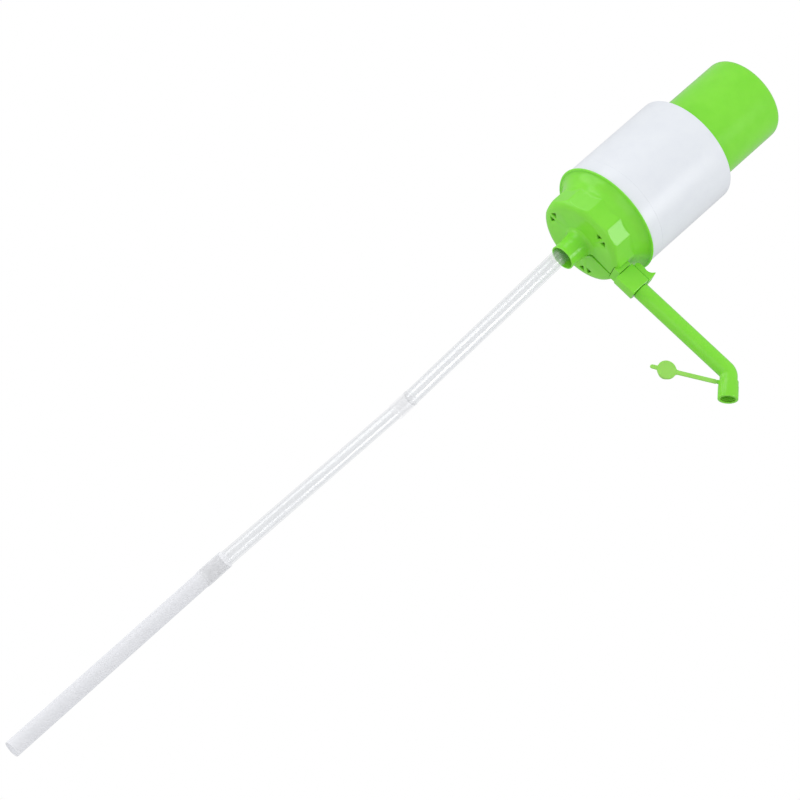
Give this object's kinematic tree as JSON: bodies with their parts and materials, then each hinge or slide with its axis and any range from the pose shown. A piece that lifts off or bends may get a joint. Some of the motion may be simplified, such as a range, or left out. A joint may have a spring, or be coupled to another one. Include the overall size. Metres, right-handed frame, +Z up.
{
  "type": "water jug hand pump",
  "caption": "Hand pump for a water jug: push cap in a sleeve over a bellows and valves, swivelling spout with a tethered cap, sectional dip pipe.",
  "frame": {"origin": "centre of the flat bottom face of the base cover, the face that sits on the mouth of the jug", "axes": "+Z up along the pump axis, towards the push cap; +X along the spout, from the pump towards the nozzle; -Z down the dip pipe"},
  "size_m": [0.177, 0.0772, 0.6393],
  "materials": {
    "green_plastic": "satin gloss",
    "green_translucent": "slightly translucent satin",
    "white_plastic": "satin gloss",
    "clear_plastic": "clear",
    "frosted_plastic": "frosted",
    "inner_plastic": "satin",
    "bellows_plastic": "soft satin",
    "valve_rubber": "matte",
    "steel": "bright"
  },
  "bodies": {
    "pump_body": {"base_cover": "green_plastic", "pump_base": "green_plastic", "outlet_socket": "green_plastic", "outer_sleeve": "white_plastic", "bellows": "bellows_plastic", "bellows_clamp_ring": "inner_plastic", "intake_valve_seat": "inner_plastic", "outlet_valve_seat": "inner_plastic", "lever_pin": "steel", "pipe_upper": "clear_plastic", "pipe_middle": "clear_plastic", "pipe_lower": "frosted_plastic"},
    "push_button": {"push_cap": "green_plastic", "bellows_top_disc": "inner_plastic"},
    "spout": {"spout_tube": "green_plastic", "spout_o_ring": "valve_rubber"},
    "nozzle_ring": {"cap_ring": "green_plastic"},
    "tethered_cap": {"spout_cap": "green_translucent"},
    "air_release": {"release_lever": "green_plastic", "release_pad": "valve_rubber"},
    "intake_valve": {"intake_flap": "valve_rubber"},
    "outlet_valve": {"outlet_flap": "valve_rubber"}
  },
  "joints": [
    {"name": "push_slide", "type": "slide", "parent": "pump_body", "child": "push_button", "axis": [0, 0, -1], "range_m": [0, 0.042], "stiffness_N_per_m": 250, "springref_m": -0.01, "deforming": ["bellows"]},
    {"name": "spout_swivel", "type": "hinge", "parent": "pump_body", "child": "spout", "pos_m": [0.0474, 0, 0.0052], "axis": [0.9999, 0, 0.0147], "range_deg": [-180, 180]},
    {"name": "ring_turn", "type": "hinge", "parent": "spout", "child": "nozzle_ring", "pos_m": [0.13376, 0, -0.00763], "axis": [0.6388, 0, -0.7694], "range_deg": [-180, 180]},
    {"name": "strap_bend", "type": "hinge", "parent": "nozzle_ring", "child": "tethered_cap", "pos_m": [0.12036, 0, -0.00471], "axis": [0, 1, 0], "range_deg": [-60, 25], "stiffness_Nm_per_rad": 0.02},
    {"name": "release_tip", "type": "hinge", "parent": "pump_body", "child": "air_release", "pos_m": [0.0356, 0, 0.0138], "axis": [0, -1, 0], "range_deg": [0, 25]},
    {"name": "intake_lift", "type": "slide", "parent": "pump_body", "child": "intake_valve", "axis": [0, 0, 1], "range_m": [0, 0.0012], "stiffness_N_per_m": 20},
    {"name": "outlet_drop", "type": "slide", "parent": "pump_body", "child": "outlet_valve", "axis": [0, 0, -1], "range_m": [0, 0.0012], "stiffness_N_per_m": 10, "springref_m": -0.001}
  ]
}
